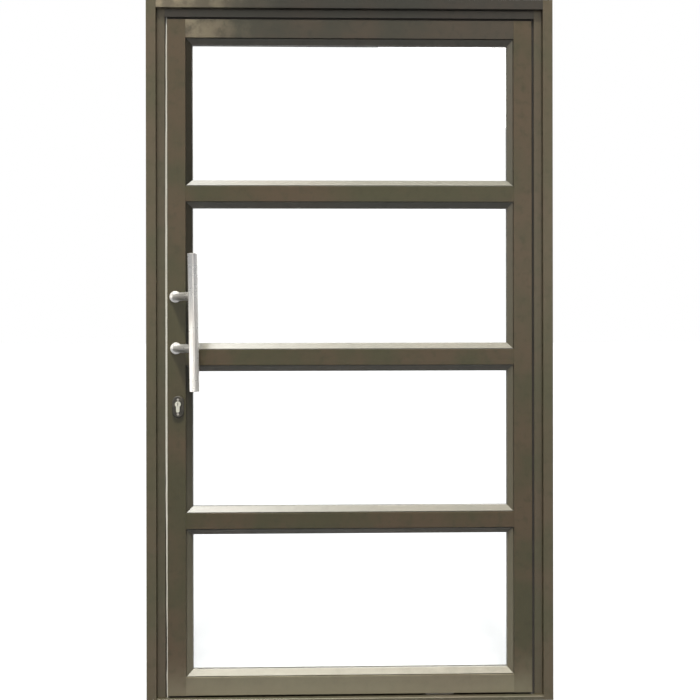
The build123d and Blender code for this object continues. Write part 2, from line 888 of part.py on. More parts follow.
def escutcheon(side):
    """An oval plate round the cylinder, outdoors at -1 and indoors at 1."""
    plan = SlotOverall(escutcheon_height, escutcheon_width, rotation=90)
    place = Plane(origin=(lock_x, side * leaf_y, escutcheon_centre), x_dir=(1, 0, 0), z_dir=(0, side, 0))
    shape = extrude(place * plan, escutcheon_thickness)
    rim = shape.edges().filter_by_position(Axis.Y, *sorted((side * (escutcheon_y - 0.01), side * (escutcheon_y + 0.01))))
    shape = fillet(rim, escutcheon_round)
    shape -= extrude(keyhole(seat_clearance), escutcheon_y + 1, both=True)
    for cutter in holes(escutcheon_places, escutcheon_screw_length, seat_clearance / 2):
        shape -= cutter
    return shape


def lock_case():
    """The deadlock's case with its faceplate, guides and cut-outs."""
    half = case_thickness / 2
    inside = half - case_wall
    back = lock_x + case_back
    shape = block((-leaf_half, back), (-half, half), (case_bottom, case_top))
    shape -= block(
        (-leaf_half + case_wall, back - case_wall),
        (-inside, inside),
        (case_bottom + case_wall, case_top - case_wall),
    )
    for low in (bolt_top + bolt_slack, bolt_bottom - bolt_slack - case_wall / 2):
        end = -leaf_half + bolt_length * 0.8 if low > bolt_top else lock_x - cam_radius - case_wall
        shape += block((-leaf_half, end), (-half, half), (low, low + case_wall / 2))
    shape += block(
        (faceplate_x, -leaf_half),
        (-faceplate_width / 2, faceplate_width / 2),
        (case_bottom - faceplate_ear, case_top + faceplate_ear),
    )
    shape -= block(
        (faceplate_x - 1, -leaf_half + 2 * case_wall),
        (-bolt_width / 2 - bolt_slack, bolt_width / 2 + bolt_slack),
        (bolt_bottom - bolt_slack, bolt_top + bolt_slack),
    )
    shape -= extrude(keyhole(seat_clearance), leaf_y, both=True)
    for cutter in holes(faceplate_places, plate_screw_length, seat_clearance / 2):
        shape -= cutter
    return shape - cylinder_screw_place * sunk_screw(cylinder_screw_length, seat_clearance / 2)


def deadbolt():
    """The bolt, drawn back flush with the faceplate."""
    bolt = block(
        (faceplate_x, faceplate_x + bolt_length), (-bolt_width / 2, bolt_width / 2), (bolt_bottom, bolt_top)
    )
    tip = bolt.faces().sort_by(Axis.X)[0].edges()
    return chamfer(tip, bolt_chamfer)


def leaf_screws():
    """The screws at the rails' ends, in the lock's faceplate and cylinder, and in the escutcheons."""
    seat = opening_half + profile_wall
    solids = [
        facing(side * seat, -port_depth(), height, (side, 0, 0)) * pan_screw()
        for side in (-1, 1)
        for height in rail_screw_heights()
    ]
    solids += [place * sunk_screw(plate_screw_length) for place in faceplate_places + shoe_places]
    solids += [place * sunk_screw(escutcheon_screw_length) for place in escutcheon_places]
    solids.append(cylinder_screw_place * sunk_screw(cylinder_screw_length))
    return group(solids)


def build():
    """Every part of the door by name."""
    parts = {
        "jamb_lock_side": jamb(-1),
        "jamb_pivot_side": jamb(1),
        "head": head(),
        "sill": sill(),
        "liner_lock_side": liner_lock_side(),
        "liner_pivot_side": liner_pivot_side(),
        "liner_head": liner_head(),
        "pile_seal_lock_side": upright_seal(-1),
        "pile_seals_dark": group([upright_seal(1), head_seal()]),
        "strike_plate": strike_plate(),
        "bottom_pivot_plate": bottom_pivot_plate(),
        "thrust_washer": thrust_washer(),
        "top_pivot_plate": top_pivot_plate(),
        "frame_plate_screws": frame_plate_screws(),
        "frame_corner_screws": frame_corner_screws(),
        "stile_lock_side": stile_lock_side(),
        "stile_pivot_side": stile(1),
        "setting_blocks": setting_blocks(),
        "glazing_gaskets_outer": gaskets(-1),
        "glazing_gaskets_inner": gaskets(1),
        "bottom_pivot_shoe": bottom_pivot_shoe(),
        "top_pivot_shoe": top_pivot_shoe(),
        "top_pivot_pin": top_pivot_pin(),
        "bottom_sweep": bottom_sweep(),
        "pull_handle_outer": pull_handle(-1, handle_reach),
        "pull_handle_inner": pull_handle(1, 0),
        "handle_bolts": handle_bolts(),
        "lock_case": lock_case(),
        "cylinder_body": cylinder_body(),
        "cylinder_plug_outer": cylinder_plug_outer(),
        "cylinder_plug_inner": cylinder_plug_inner(),
        "escutcheon_outer": escutcheon(-1),
        "escutcheon_inner": escutcheon(1),
        "deadbolt": deadbolt(),
        "leaf_screws": leaf_screws(),
    }
    parts.update(rails())
    spans = pane_spans()
    first_beads = beads(*spans[0])
    for index, (low, high) in enumerate(spans):
        parts[f"glass_pane_{index + 1}"] = glass_pane(low, high)
        for name, bead in first_beads.items():
            parts[f"bead_{name}_{index + 1}"] = Pos(0, 0, -index * pane_pitch) * bead
    return parts


if __name__ == "__main__":
    os.makedirs("parts", exist_ok=True)
    for name, shape in build().items():
        export_step(shape, f"parts/{name}.step")
        print(name, round(shape.volume / 1000, 2), "cm3")
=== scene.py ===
"""Dresses a glass pivot door and its frame: finishes, a woven seal, smooth metal parts, studio and camera."""

import logging
import math
from dataclasses import dataclass, field
from enum import Enum
from typing import Any

import bpy
from mathutils import Matrix, Vector

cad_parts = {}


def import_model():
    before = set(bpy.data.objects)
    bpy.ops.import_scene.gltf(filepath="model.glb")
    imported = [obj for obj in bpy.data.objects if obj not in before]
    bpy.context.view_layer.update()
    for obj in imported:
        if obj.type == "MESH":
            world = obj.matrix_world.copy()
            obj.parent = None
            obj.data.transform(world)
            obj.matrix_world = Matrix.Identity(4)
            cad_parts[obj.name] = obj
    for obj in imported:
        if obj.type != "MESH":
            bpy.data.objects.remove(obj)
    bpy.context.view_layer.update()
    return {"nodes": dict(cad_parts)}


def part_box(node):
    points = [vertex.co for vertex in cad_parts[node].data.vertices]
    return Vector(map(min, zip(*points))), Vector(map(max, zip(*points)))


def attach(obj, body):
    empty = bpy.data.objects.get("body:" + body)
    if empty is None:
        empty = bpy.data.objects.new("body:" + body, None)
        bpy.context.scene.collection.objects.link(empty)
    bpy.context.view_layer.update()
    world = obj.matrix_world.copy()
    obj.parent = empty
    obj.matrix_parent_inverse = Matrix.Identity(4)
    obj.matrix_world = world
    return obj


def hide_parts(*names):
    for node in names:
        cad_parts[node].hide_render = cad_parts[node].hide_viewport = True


LOG = logging.getLogger("glass_door")
MM = 0.001
WELD_DISTANCE = 0.01 * MM
FLAT_ANGLE = math.radians(1)
QUAD_ANGLE = math.radians(40)
SMOOTH_ANGLE = math.radians(28)
Colour = tuple[float, float, float]
Place = tuple[float, float, float]
Edge = tuple[float, float]
Band = tuple[float, float, float, float]
WHITE: Colour = (1.0, 1.0, 1.0)


def srgb(red: float, green: float, blue: float) -> Colour:
    """Turn display values from 0 to 255 into the linear values that shaders use.

    Args:
        red: Red as shown on a screen.
        green: Green as shown on a screen.
        blue: Blue as shown on a screen.

    Returns:
        The colour in linear light.
    """

    def channel(value: float) -> float:
        """Follow the display curve, which is straight in its darkest part.

        Args:
            value: The channel as shown on a screen.

        Returns:
            The channel in linear light.
        """
        share = value / 255
        return share / 12.92 if share <= 0.04045 else ((share + 0.055) / 1.055) ** 2.4

    return channel(red), channel(green), channel(blue)


class Grain(Enum):
    """The way a member was drawn through its die."""

    ALONG_X = (1.5, 90.0, 90.0)
    ALONG_Z = (90.0, 90.0, 1.5)


class Signal:
    """A number that changes over a surface; arithmetic on it adds Math nodes."""

    def __init__(self, shading: "Shading", socket: bpy.types.NodeSocket) -> None:
        """Wrap a socket.

        Args:
            shading: The node tree that the socket belongs to.
            socket: The output that carries the number.
        """
        self.shading = shading
        self.socket = socket

    def _math(self, operation: str, first: Any, second: Any) -> "Signal":
        """Add one Math node.

        Args:
            operation: The node's operation.
            first: The first value, a signal or a number.
            second: The second value, a signal or a number.

        Returns:
            The result as a signal.
        """
        node = self.shading.node("ShaderNodeMath", {"operation": operation}, {0: first, 1: second})
        return Signal(self.shading, node.outputs[0])

    def __add__(self, other: Any) -> "Signal":
        """Add a number or a signal.

        Args:
            other: What is added.

        Returns:
            The result as a signal.
        """
        return self._math("ADD", self, other)

    __radd__ = __add__

    def __mul__(self, other: Any) -> "Signal":
        """Multiply by a number or a signal.

        Args:
            other: The factor.

        Returns:
            The result as a signal.
        """
        return self._math("MULTIPLY", self, other)

    __rmul__ = __mul__

    def __sub__(self, other: Any) -> "Signal":
        """Take away a number or a signal.

        Args:
            other: What is taken away.

        Returns:
            The result as a signal.
        """
        return self._math("SUBTRACT", self, other)

    def __rsub__(self, other: Any) -> "Signal":
        """Take this signal from a number.

        Args:
            other: The number that it is taken from.

        Returns:
            The result as a signal.
        """
        return self._math("SUBTRACT", other, self)

    def atleast(self, other: Any) -> "Signal":
        """Give the larger of this and another value.

        Args:
            other: The other value, a signal or a number.

        Returns:
            The result as a signal.
        """
        return self._math("MAXIMUM", self, other)

    def ramp(self, low: float, high: float) -> "Signal":
        """Rise smoothly from 0 at low to 1 at high.

        Args:
            low: The value that gives 0.
            high: The value that gives 1.

        Returns:
            The eased signal.
        """
        settings = {"interpolation_type": "SMOOTHSTEP"}
        sockets = {"Value": self, "From Min": low, "From Max": high}
        node = self.shading.node("ShaderNodeMapRange", settings, sockets)
        return Signal(self.shading, node.outputs[0])

    def band(self, start: float, full: float, fading: float, end: float) -> "Signal":
        """Rise smoothly to 1 and fall back to 0.

        Args:
            start: Where it starts to rise.
            full: Where it reaches 1.
            fading: Where it starts to fall.
            end: Where it is back at 0.

        Returns:
            The eased signal.
        """
        return self.ramp(start, full) * self.ramp(end, fading)


class Shading:
    """A material's or the world's node tree, built in code."""

    def __init__(self, tree: bpy.types.NodeTree) -> None:
        """Empty the tree, ready to build in.

        Args:
            tree: The tree to build in.
        """
        self.tree = tree
        tree.nodes.clear()

    def node(
        self, kind: str, settings: dict[str, Any] | None = None, sockets: dict[Any, Any] | None = None
    ) -> bpy.types.Node:
        """Add a node, set it and connect it.

        Args:
            kind: The node's type.
            settings: Properties to set first, such as an operation.
            sockets: Values or links for its inputs, by name or number.

        Returns:
            The new node.
        """
        made = self.tree.nodes.new(kind)
        for name, value in (settings or {}).items():
            setattr(made, name, value)
        for name, value in (sockets or {}).items():
            source = value.socket if isinstance(value, Signal) else value
            if isinstance(source, bpy.types.NodeSocket):
                self.tree.links.new(source, made.inputs[name])
            elif isinstance(source, tuple) and len(source) == 3 and made.inputs[name].type == "RGBA":
                made.inputs[name].default_value = (*source, 1.0)
            else:
                made.inputs[name].default_value = source
        return made

    def place(self, stretch: Place = (1.0, 1.0, 1.0)) -> bpy.types.NodeSocket:
        """Give the point on the surface, with each axis stretched.

        Args:
            stretch: The factor of each axis.

        Returns:
            The socket that carries the point.
        """
        where = self.node("ShaderNodeTexCoord").outputs["Object"]
        return self.node("ShaderNodeMapping", {}, {"Vector": where, "Scale": stretch}).outputs[0]

    def clouds(self, where: bpy.types.NodeSocket, scale: float, detail: float, rough: float = 0.55) -> Signal:
        """Give soft noise.

        Args:
            where: The point that it is read at.
            scale: Lumps in each metre.
            detail: How many finer layers it has.
            rough: How strong the finer layers are.

        Returns:
            The noise, from about 0.2 to 0.8.
        """
        sockets = {"Vector": where, "Scale": scale, "Detail": detail, "Roughness": rough}
        return Signal(self, self.node("ShaderNodeTexNoise", {}, sockets).outputs[0])

    def mixed(self, share: Any, first: Any, second: Any) -> bpy.types.NodeSocket:
        """Blend two colours.

        Args:
            share: How much of the second colour there is.
            first: The first colour or socket.
            second: The second colour or socket.

        Returns:
            The socket that carries the blended colour.
        """
        made = self.node("ShaderNodeMix", {"data_type": "RGBA"})
        for index, value in ((0, share), (6, first), (7, second)):
            source = value.socket if isinstance(value, Signal) else value
            if isinstance(source, bpy.types.NodeSocket):
                self.tree.links.new(source, made.inputs[index])
            else:
                made.inputs[index].default_value = (*source, 1.0) if isinstance(source, tuple) else source
        return made.outputs[2]

    def bumped(self, height: Signal, strength: float, distance: float) -> bpy.types.NodeSocket:
        """Turn a height into a normal.

        Args:
            height: The height signal.
            strength: How much of it shows.
            distance: The height of a full step, in metres.

        Returns:
            The socket that carries the normal.
        """
        sockets = {"Height": height, "Strength": strength, "Distance": distance}
        return self.node("ShaderNodeBump", {}, sockets).outputs[0]

    def surface(self, sockets: dict[str, Any]) -> bpy.types.NodeSocket:
        """Add the main shader.

        Args:
            sockets: Its inputs.

        Returns:
            Its output.
        """
        return self.node("ShaderNodeBsdfPrincipled", {}, sockets).outputs[0]

    def finish(self, shader: bpy.types.NodeSocket, kind: str = "ShaderNodeOutputMaterial") -> None:
        """Send a shader to the output.

        Args:
            shader: The last shader.
            kind: The output node's type.
        """
        self.node(kind, {}, {"Surface": shader})


@dataclass(frozen=True)
class Finish:
    """What every finish has: a name and a way to make its material once."""

    name: str

    def material(self) -> bpy.types.Material:
        """Make the material, or give the one made before.

        Returns:
            The material, with its nodes built.
        """
        label = f"{self.name}_finish"
        found = bpy.data.materials.get(label)
        if found is not None:
            return found
        made = bpy.data.materials.new(label)
        made.use_nodes = True
        shading = Shading(made.node_tree)
        shading.finish(self.shader(shading))
        return made

    def shader(self, shading: Shading) -> bpy.types.NodeSocket:
        """Build the finish's own nodes.

        Args:
            shading: The material's node tree.

        Returns:
            The last shader's output.
        """
        raise NotImplementedError


@dataclass(frozen=True)
class BronzeFinish(Finish):
    """Satin bronze anodising, clouded between olive and brown, with fine die lines."""

    olive: Colour
    brown: Colour
    grain: Grain = Grain.ALONG_Z
    roughness: float = 0.38
    metallic: float = 0.25
    coat: float = 0.35
    coat_ior: float = 1.5
    coat_roughness: float = 0.25
    cloud_scale: float = 5.0
    mottle_scale: float = 38.0
    line_scale: float = 24.0
    line_depth: float = 0.4 * MM
    darker: float = 0.80
    lighter: float = 1.22
    # Pale colour of the left-end smears, and of the painted highlight that lightens that end.
    smear_and_highlight: Colour = srgb(156, 144, 118)
    smear_and_highlight_from: float = -0.60
    smear_and_highlight_reach: float = 0.0
    smear_scale: float = 16.0
    # How much the painted highlight lifts the left end between the smears.
    painted_highlight_base: float = 0.35
    smear_and_highlight_patches: float = 0.5
    # Paler colour towards the floor: dusty on the frame, painted light on the beads.
    dust_and_painted_light: Colour = srgb(134, 127, 105)
    dust_and_light_height: float = 0.10
    dust_and_light_share: float = 0.45

    def smeared_and_highlighted(
        self, shading: Shading, colour: bpy.types.NodeSocket, where: bpy.types.NodeSocket, along: Signal
    ) -> bpy.types.NodeSocket:
        """Add pale smears and a painted highlight that lighten the left end and fade out along X.

        Args:
            shading: The material's node tree.
            colour: The colour below them.
            where: The point on the surface.
            along: Its place along X.

        Returns:
            The socket that carries the colour.
        """
        # Painted highlight: the base share lightens the whole left end; the patches add pale smears.
        near = 1 - along.ramp(self.smear_and_highlight_from, self.smear_and_highlight_from + self.smear_and_highlight_reach)
        patches = shading.clouds(where, self.smear_scale, 4.0, 0.6).ramp(0.40, 0.64)
        return shading.mixed(near * (patches * self.smear_and_highlight_patches + self.painted_highlight_base), colour, self.smear_and_highlight)

    def shader(self, shading: Shading) -> bpy.types.NodeSocket:
        """Build the clouds, the mottling, the die lines, the left-end smears with their painted highlight,
        and the paler colour towards the floor.

        Args:
            shading: The material's node tree.

        Returns:
            The last shader's output.
        """
        where = shading.place()
        clouds = shading.clouds(where, self.cloud_scale, 3.0).ramp(0.36, 0.66)
        mottle = shading.clouds(where, self.mottle_scale, 4.0, 0.6)
        lines = shading.clouds(shading.place(self.grain.value), self.line_scale, 3.0, 0.7)
        colour = shading.mixed(clouds, self.olive, self.brown)
        darker = tuple(self.darker * value for value in self.olive)
        colour = shading.mixed(mottle.ramp(0.48, 0.74) * 0.6, colour, darker)
        lighter = tuple(self.lighter * value for value in self.brown)
        colour = shading.mixed(lines.ramp(0.50, 0.80) * 0.55, colour, lighter)
        parts = shading.node("ShaderNodeSeparateXYZ", {}, {0: where})
        if self.smear_and_highlight_reach > 0:
            colour = self.smeared_and_highlighted(shading, colour, where, Signal(shading, parts.outputs[0]))
        # Paler towards the floor: dusty on the jambs, liners and sill; painted light on the side beads, which
        # grow lighter towards the bottom, and a painted highlight on the lowest bottom bead; on the stiles
        # and bottom rail simply lighter towards the bottom.
        low = Signal(shading, parts.outputs[2]) + mottle * 0.05 + clouds * 0.03
        dust_and_painted_light = (1 - low.ramp(0.01, self.dust_and_light_height)) * self.dust_and_light_share
        colour = shading.mixed(dust_and_painted_light, colour, self.dust_and_painted_light)
        return shading.surface(
            {
                "Base Color": colour,
                "Roughness": mottle * 0.14 + lines * 0.08 + dust_and_painted_light * 0.25 + (self.roughness - 0.11),
                "Metallic": self.metallic,
                "Coat Weight": self.coat,
                "Coat Roughness": self.coat_roughness,
                "Coat IOR": self.coat_ior,
                "Normal": shading.bumped(lines + mottle * 0.6, 0.12, self.line_depth),
            }
        )


@dataclass(frozen=True)
class SteelFinish(Finish):
    """Satin stainless or plain plated steel with fine polishing lines."""

    colour: Colour
    shade: Colour
    roughness: float
    metallic: float = 1.0
    line_stretch: Place = (30.0, 30.0, 320.0)
    smear_scale: float = 26.0

    def shader(self, shading: Shading) -> bpy.types.NodeSocket:
        """Build the polishing lines and the faint smears.

        Args:
            shading: The material's node tree.

        Returns:
            The last shader's output.
        """
        lines = shading.clouds(shading.place(self.line_stretch), 1.0, 2.0, 0.6)
        smears = shading.clouds(shading.place(), self.smear_scale, 3.0).ramp(0.42, 0.72)
        colour = shading.mixed(smears * 0.55 + lines * 0.2, self.colour, self.shade)
        return shading.surface(
            {
                "Base Color": colour,
                "Roughness": lines * 0.06 + smears * 0.06 + (self.roughness - 0.05),
                "Metallic": self.metallic,
            }
        )


@dataclass(frozen=True)
class CoatedFinish(Finish):
    """A dull coat, moulding or rubber: colour, mottling and a fine texture."""

    colour: Colour
    light: Colour
    roughness: float
    metallic: float = 0.0
    mottle_scale: float = 60.0
    texture_scale: float = 900.0
    texture_depth: float = 0.08 * MM

    def shader(self, shading: Shading) -> bpy.types.NodeSocket:
        """Build the mottling and the fine texture.

        Args:
            shading: The material's node tree.

        Returns:
            The last shader's output.
        """
        where = shading.place()
        mottle = shading.clouds(where, self.mottle_scale, 4.0, 0.6)
        fine = shading.clouds(where, self.texture_scale, 2.0)
        colour = shading.mixed(mottle.ramp(0.45, 0.75) * 0.8, self.colour, self.light)
        return shading.surface(
            {
                "Base Color": colour,
                "Roughness": mottle * 0.16 + fine * 0.06 + (self.roughness - 0.11),
                "Metallic": self.metallic,
                "Normal": shading.bumped(fine + mottle, 0.35, self.texture_depth),
            }
        )


@dataclass(frozen=True)
class PileFinish(Finish):
    """Woven pile: fibres with soft colour changes, darker up to an uneven edge if that is set."""

    colour: Colour
    shade: Colour
    root: Colour = srgb(52, 47, 36)
    root_from: float = 0.0
    root_to: float = 0.0
    fullness: float = 3.4 * MM
    unevenness: float = 4.0 * MM
    fibre_stretch: Place = (2600.0, 300.0, 2600.0)
    fibre_depth: float = 0.3 * MM
    patch_scale: float = 14.0
    sheen: float = 0.35

    def shader(self, shading: Shading) -> bpy.types.NodeSocket:
        """Build the fibres and the changes from tuft to tuft.

        Args:
            shading: The material's node tree.

        Returns:
            The last shader's output.
        """
        fibres = shading.clouds(shading.place(self.fibre_stretch), 1.0, 2.0)
        patches = shading.clouds(shading.place(), self.patch_scale, 4.0)
        shaded = fibres.ramp(0.35, 0.7) * 0.35 + patches.ramp(0.4, 0.7) * 0.4
        colour = shading.mixed(shaded, self.colour, self.shade)
        if self.root_to != self.root_from:
            parts = shading.node("ShaderNodeSeparateXYZ", {}, {0: shading.place()})
            along = Signal(shading, parts.outputs[0])
            height = Signal(shading, parts.outputs[2])
            fuller = height.ramp(0.15, 0.8) * (height.ramp(2.0, 1.3) * 0.7 + 0.3) * self.fullness
            wavy = (patches - 0.5) * self.unevenness
            tip = (along + fuller + wavy).ramp(self.root_from, self.root_to)
            colour = shading.mixed(tip, self.root, colour)
        return shading.surface(
            {
                "Base Color": colour,
                "Roughness": fibres * 0.1 + 0.85,
                "Sheen Weight": self.sheen,
                "Normal": shading.bumped(fibres, 0.6, self.fibre_depth),
            }
        )


@dataclass(frozen=True)
class GlassFinish(Finish):
    """Clear float glass with faint, slightly duller marks."""

    tint: Colour = (0.975, 0.985, 0.978)
    shadow_tint: Colour = (0.95, 0.97, 0.96)
    ior: float = 1.45
    mark_stretch: Place = (1.0, 1.0, 0.5)
    mark_scale: float = 9.0
    mark_roughness: float = 0.006

    def shader(self, shading: Shading) -> bpy.types.NodeSocket:
        """Build the glass, which lets the lamps' light through unbent.

        Args:
            shading: The material's node tree.

        Returns:
            The last shader's output.
        """
        marks = shading.clouds(shading.place(self.mark_stretch), self.mark_scale, 5.0, 0.65)
        glass = shading.surface(
            {
                "Base Color": self.tint,
                "Roughness": marks.ramp(0.55, 0.8) * self.mark_roughness,
                "IOR": self.ior,
                "Transmission Weight": 1.0,
            }
        )
        shadow = shading.node("ShaderNodeLightPath").outputs["Is Shadow Ray"]
        clear = shading.node("ShaderNodeBsdfTransparent", {}, {"Color": self.shadow_tint}).outputs[0]
        return shading.node("ShaderNodeMixShader", {}, {0: shadow, 1: glass, 2: clear}).outputs[0]


JAMB_BRONZE = BronzeFinish("jamb_bronze", olive=srgb(82, 79, 58), brown=srgb(92, 81, 63), dust_and_light_share=0.1)
# Painted shade: coloured darker than the jambs for the shade over the head; its left end has pale smears and
# a painted highlight.
HEAD_SHADED_BRONZE = BronzeFinish(
    "head_shaded_bronze", olive=srgb(50, 49, 42), brown=srgb(57, 51, 43), grain=Grain.ALONG_X, smear_and_highlight_reach=0.42
)
LINER_BRONZE = BronzeFinish("liner_bronze", olive=srgb(79, 76, 57), brown=srgb(86, 76, 60), dust_and_light_share=0.1)
# Painted shade: coloured darker for the head's shadow on the liner.
HEAD_LINER_SHADED_BRONZE = BronzeFinish(
    "head_liner_shaded_bronze", olive=srgb(64, 63, 55), brown=srgb(70, 64, 55), grain=Grain.ALONG_X
)
SILL_BRONZE = BronzeFinish(
    "sill_bronze", olive=srgb(83, 80, 63), brown=srgb(88, 81, 66), grain=Grain.ALONG_X, dust_and_light_share=0.05
)
# Lighter towards the bottom.
STILE_BRONZE = BronzeFinish(
    "stile_bronze", olive=srgb(70, 67, 46), brown=srgb(84, 71, 53), dust_and_light_height=0.2, dust_and_light_share=0.7
)
# Painted shade: coloured darker for the shade under the head; its left end has pale smears and a painted
# highlight.
TOP_RAIL_SHADED_BRONZE = BronzeFinish(
    "top_rail_shaded_bronze",
    olive=srgb(58, 57, 47),
    brown=srgb(73, 64, 52),
    grain=Grain.ALONG_X,
    smear_and_highlight_reach=0.40,
    painted_highlight_base=0.14,
    smear_and_highlight_patches=0.62,
)
MID_RAIL_BRONZE = BronzeFinish(
    "mid_rail_bronze", olive=srgb(67, 65, 43), brown=srgb(80, 67, 49), grain=Grain.ALONG_X
)
# Painted light: coloured lighter than the other rails, and lighter still towards the bottom.
LOW_RAIL_LIT_BRONZE = BronzeFinish(
    "low_rail_lit_bronze",
    olive=srgb(84, 81, 60),
    brown=srgb(94, 83, 66),
    grain=Grain.ALONG_X,
    dust_and_light_height=0.24,
    dust_and_light_share=0.85,
)
# Painted highlight: the pale colour near the floor stands in for a bright reflection on the lowest bottom
# bead.
LOW_BEAD_HIGHLIT_BRONZE = BronzeFinish(
    "low_bead_highlit_bronze",
    olive=srgb(88, 87, 76),
    brown=srgb(94, 90, 78),
    grain=Grain.ALONG_X,
    roughness=0.5,
    metallic=0.0,
    coat=0.9,
    coat_ior=1.8,
    dust_and_painted_light=srgb(170, 165, 150),
    dust_and_light_height=0.3,
    dust_and_light_share=0.8,
)
HIGH_BEAD_BRONZE = BronzeFinish(
    "high_bead_bronze", olive=srgb(82, 81, 72), brown=srgb(88, 83, 72), grain=Grain.ALONG_X, dust_and_light_share=0.0
)
# Painted shade: coloured darker than the right beads for the shade on this side; painted light makes them
# lighter towards the bottom.
LEFT_BEAD_SHADED_BRONZE = BronzeFinish(
    "left_bead_shaded_bronze", olive=srgb(46, 44, 33), brown=srgb(50, 45, 34), dust_and_light_height=1.2, dust_and_light_share=0.5
)
# Painted light: coloured lighter than the left beads, and lighter towards the bottom.
RIGHT_BEAD_LIT_BRONZE = BronzeFinish(
    "right_bead_lit_bronze", olive=srgb(70, 68, 53), brown=srgb(75, 68, 54), dust_and_light_height=1.8, dust_and_light_share=0.4
)
HANDLE_STEEL = SteelFinish(
    "handle_steel", colour=srgb(242, 241, 237), shade=srgb(228, 222, 218), roughness=0.30, metallic=0.8
)
PLATE_STEEL = SteelFinish(
    "plate_steel", colour=srgb(190, 187, 182), shade=srgb(160, 155, 148), roughness=0.34
)
SCREW_STEEL = SteelFinish("screw_steel", colour=srgb(212, 208, 200), shade=srgb(180, 174, 164), roughness=0.3)
NICKEL = SteelFinish(
    "cylinder_nickel", colour=srgb(238, 237, 222), shade=srgb(216, 213, 196), roughness=0.40, metallic=0.7
)
BRASS = SteelFinish("washer_brass", colour=srgb(196, 170, 108), shade=srgb(160, 132, 78), roughness=0.35)
ESCUTCHEON_COAT = CoatedFinish(
    "escutcheon_coat", colour=srgb(70, 68, 62), light=srgb(98, 93, 83), roughness=0.30, metallic=0.5
)
GASKET_RUBBER = CoatedFinish(
    "gasket_rubber", colour=srgb(108, 106, 101), light=srgb(128, 125, 118), roughness=0.6
)
BLOCK_PLASTIC = CoatedFinish(
    "block_plastic", colour=srgb(36, 36, 38), light=srgb(52, 52, 54), roughness=0.55
)
PALE_PILE = PileFinish(
    "pale_pile", colour=srgb(232, 230, 218), shade=srgb(192, 186, 168), root_from=-0.5438, root_to=-0.5424
)
DARK_PILE = PileFinish("dark_pile", colour=srgb(46, 42, 36), shade=srgb(28, 26, 22))
CLEAR_GLASS = GlassFinish("clear_glass")


def dress(nodes: dict[str, bpy.types.Object], finish: Finish, *names: str) -> None:
    """Give CAD nodes a finish.

    Args:
        nodes: The nodes by name.
        finish: The finish they take.
        names: Which nodes.
    """
    for name in names:
        mesh = nodes[name].data
        mesh.materials.clear()
        mesh.materials.append(finish.material())


def pick_only(thing: bpy.types.Object) -> None:
    """Select one object and make it active.

    Args:
        thing: The object.
    """
    bpy.ops.object.select_all(action="DESELECT")
    thing.select_set(True)
    bpy.context.view_layer.objects.active = thing


def settle(thing: bpy.types.Object, name: str, finish: Finish, body: str) -> bpy.types.Object:
    """Apply a piece's place and modifiers, name it, dress it and let it ride.

    Args:
        thing: The piece.
        name: Its name.
        finish: Its finish.
        body: The CAD body that it rides on.

    Returns:
        The piece.
    """
    pick_only(thing)
    for modifier in list(thing.modifiers):
        bpy.ops.object.modifier_apply(modifier=modifier.name)
    bpy.ops.object.transform_apply(location=True, rotation=True, scale=True)
    thing.name = name
    thing.data.name = name
    thing.data.materials.clear()
    thing.data.materials.append(finish.material())
    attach(thing, body)
    return thing


def refined(node: bpy.types.Object, name: str, finish: Finish, body: str) -> bpy.types.Object:
    """Copy a CAD node with its surfaces joined and its curved faces smooth, in its place.

    Args:
        node: The CAD node that the copy stands for.
        name: The copy's name.
        finish: Its finish.
        body: The CAD body that it rides on.

    Returns:
        The copy.
    """
    copy = bpy.data.objects.new(name, node.data.copy())
    bpy.context.scene.collection.objects.link(copy)
    pick_only(copy)
    bpy.ops.object.mode_set(mode="EDIT")
    bpy.ops.mesh.select_all(action="SELECT")
    bpy.ops.mesh.remove_doubles(threshold=WELD_DISTANCE)
    bpy.ops.mesh.tris_convert_to_quads(face_threshold=FLAT_ANGLE, shape_threshold=QUAD_ANGLE)
    bpy.ops.object.mode_set(mode="OBJECT")
    bpy.ops.object.shade_smooth_by_angle(angle=SMOOTH_ANGLE)
    settle(copy, name, finish, body)
    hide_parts(node.name)
    return copy


@dataclass
class OuterFrame:
    """The jambs, head, sill and inner profiles."""

    nodes: dict[str, bpy.types.Object]

    def build(self) -> list[str]:
        """Dress the frame's members.

        Returns:
            The names of what was dressed.
        """
        dress(self.nodes, JAMB_BRONZE, "jamb_lock_side", "jamb_pivot_side")
        dress(self.nodes, HEAD_SHADED_BRONZE, "head")
        dress(self.nodes, LINER_BRONZE, "liner_lock_side", "liner_pivot_side")
        dress(self.nodes, HEAD_LINER_SHADED_BRONZE, "liner_head")
        dress(self.nodes, SILL_BRONZE, "sill")
        dress(self.nodes, SCREW_STEEL, "frame_plate_screws", "frame_corner_screws")
        dress(self.nodes, PLATE_STEEL, "strike_plate")
        return ["jambs", "head", "inner profiles", "sill", "strike plate"]


